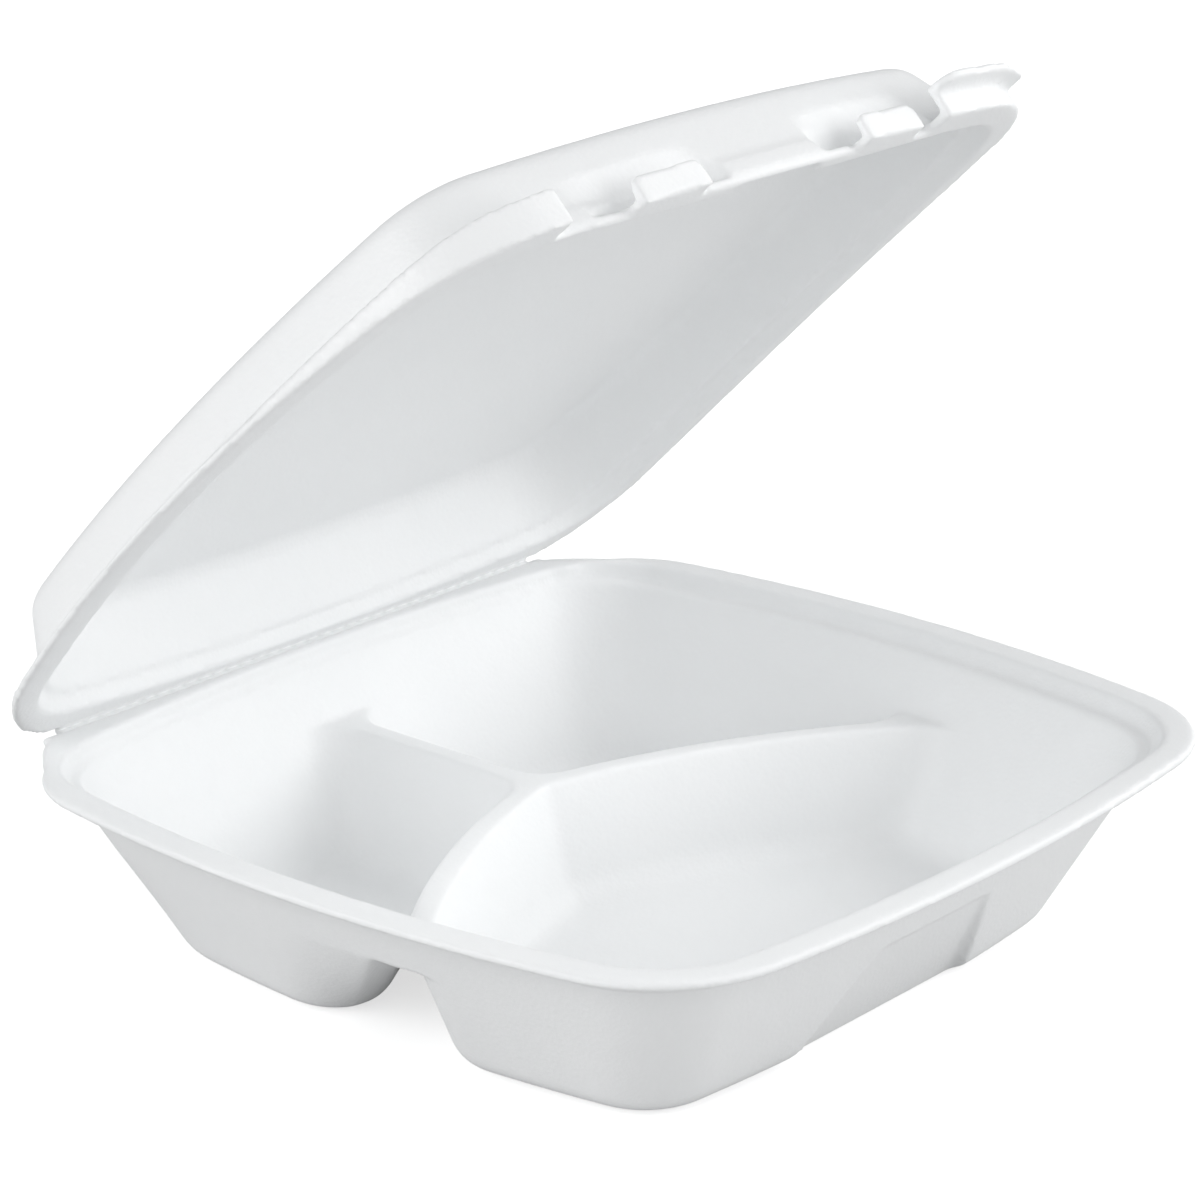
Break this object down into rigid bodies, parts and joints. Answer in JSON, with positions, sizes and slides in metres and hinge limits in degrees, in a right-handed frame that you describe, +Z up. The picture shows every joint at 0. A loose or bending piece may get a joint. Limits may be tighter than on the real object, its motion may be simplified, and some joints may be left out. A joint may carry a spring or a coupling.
{
  "type": "foam clamshell container",
  "caption": "White foam clamshell take-away container: a divided tray and a domed lid joined by a pressed hinge line, with latch tabs along the front.",
  "frame": {"origin": "on the table under the middle of the tray, on the underside of the large compartment's floor", "axes": "+X along the hinge line, to the right seen from the front; +Y from the front to the hinge; +Z up"},
  "size_m": [0.238, 0.2294, 0.2105],
  "materials": {
    "tray_foam": "satin white expanded polystyrene foam",
    "lid_foam": "satin white expanded polystyrene foam"
  },
  "bodies": {
    "tray": {"base_tray": "tray_foam"},
    "lid": {"lid": "lid_foam"}
  },
  "joints": [
    {"name": "lid_hinge", "type": "hinge", "parent": "tray", "child": "lid", "pos_m": [0, 0.1105, 0.05015], "axis": [-1, 0, 0], "range_deg": [-43.5, 136.5]}
  ]
}
